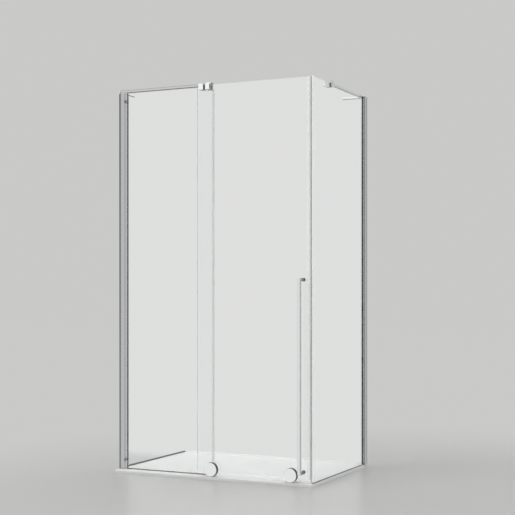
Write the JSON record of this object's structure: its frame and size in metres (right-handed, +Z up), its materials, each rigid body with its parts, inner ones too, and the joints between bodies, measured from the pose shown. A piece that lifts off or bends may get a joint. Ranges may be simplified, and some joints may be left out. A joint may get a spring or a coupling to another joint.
{
  "type": "walk-in shower enclosure",
  "caption": "Frameless corner shower enclosure: fixed panel, glass door sliding on floor rollers, side panel, chrome stabiliser bars, wall profiles and a low white tray.",
  "frame": {"origin": "centre of the overall footprint, on the tray's underside", "axes": "+Z up, +X along the front from the wall at the left to the side panel, +Y from the front to the back wall"},
  "size_m": [1.105, 0.768, 1.976],
  "materials": {
    "glass": "clear toughened, polished edges",
    "chrome": "polished",
    "polished_aluminium": "bright polished",
    "tray": "satin white cast mineral",
    "drain_cover": "satin white",
    "clear_vinyl": "translucent",
    "rubber": "matt",
    "tyre": "matt",
    "dark_sealant": "matt",
    "pale_sealant": "matt",
    "grey_vinyl": "matt",
    "black_chrome": "polished",
    "magnet": "matt magnetic rubber",
    "pale_magnet": "matt",
    "nylon": "satin",
    "steel": "plain stainless"
  },
  "bodies": {
    "enclosure": {"shower_tray": "tray", "waste_flange": "chrome", "waste_gasket": "rubber", "drain_cover": "drain_cover", "tray_left_wall_seal": "dark_sealant", "tray_back_wall_seal": "pale_sealant", "front_wall_profile": "polished_aluminium", "front_glazing_profile": "polished_aluminium", "front_glazing_gaskets": "rubber", "front_profile_cap": "chrome", "back_wall_profile": "polished_aluminium", "back_glazing_profile": "polished_aluminium", "back_glazing_gaskets": "rubber", "back_profile_cap": "chrome", "profile_screws": "steel", "open_bumpers": "rubber", "fixed_panel": "glass", "fixed_foot_seal": "grey_vinyl", "overlap_seal": "clear_vinyl", "side_panel": "glass", "side_foot_seal": "grey_vinyl", "side_closing_seal": "clear_vinyl", "side_magnet_strip": "magnet", "front_bar": "chrome", "front_wall_plate": "chrome", "side_bar": "chrome", "back_wall_plate": "chrome", "bar_end_screws": "steel", "guide_clamp": "chrome", "guide_clamp_pads": "rubber", "door_guide_liner": "nylon", "side_clamp": "chrome", "side_clamp_pads": "rubber", "clamp_screws": "chrome", "threshold_strip": "clear_vinyl"},
    "door": {"door_panel": "glass", "door_closing_seal": "clear_vinyl", "door_magnet_strip": "pale_magnet", "door_bottom_seal": "clear_vinyl", "door_stop": "chrome", "door_stop_pads": "rubber", "door_stop_buffer": "rubber", "door_stop_screws": "steel", "handle": "chrome", "handle_gaskets": "rubber", "handle_fixings": "black_chrome", "roller_axle_left": "steel", "roller_axle_right": "steel", "roller_nuts": "chrome", "roller_gaskets": "rubber", "roller_retaining_rings": "steel"},
    "left_roller": {"roller_cover_left": "chrome", "roller_wheel_left": "nylon", "roller_tyre_left": "tyre", "roller_bearing_left": "steel"},
    "right_roller": {"roller_cover_right": "chrome", "roller_wheel_right": "nylon", "roller_tyre_right": "tyre", "roller_bearing_right": "steel"}
  },
  "joints": [
    {"name": "door_slide", "type": "slide", "parent": "enclosure", "child": "door", "axis": [-1, 0, 0], "range_m": [0, 0.42]},
    {"name": "left_roller_spin", "type": "hinge", "parent": "door", "child": "left_roller", "pos_m": [0.0018, -0.35, 0.0504], "axis": [0, -1, 0], "range_deg": [0, 690]},
    {"name": "right_roller_spin", "type": "hinge", "parent": "door", "child": "right_roller", "pos_m": [0.4328, -0.35, 0.0504], "axis": [0, -1, 0], "range_deg": [0, 690]}
  ],
  "couplings": [
    {"joint": "left_roller_spin", "follows": "door_slide", "rad_per_m": 28.571},
    {"joint": "right_roller_spin", "follows": "door_slide", "rad_per_m": 28.571}
  ]
}
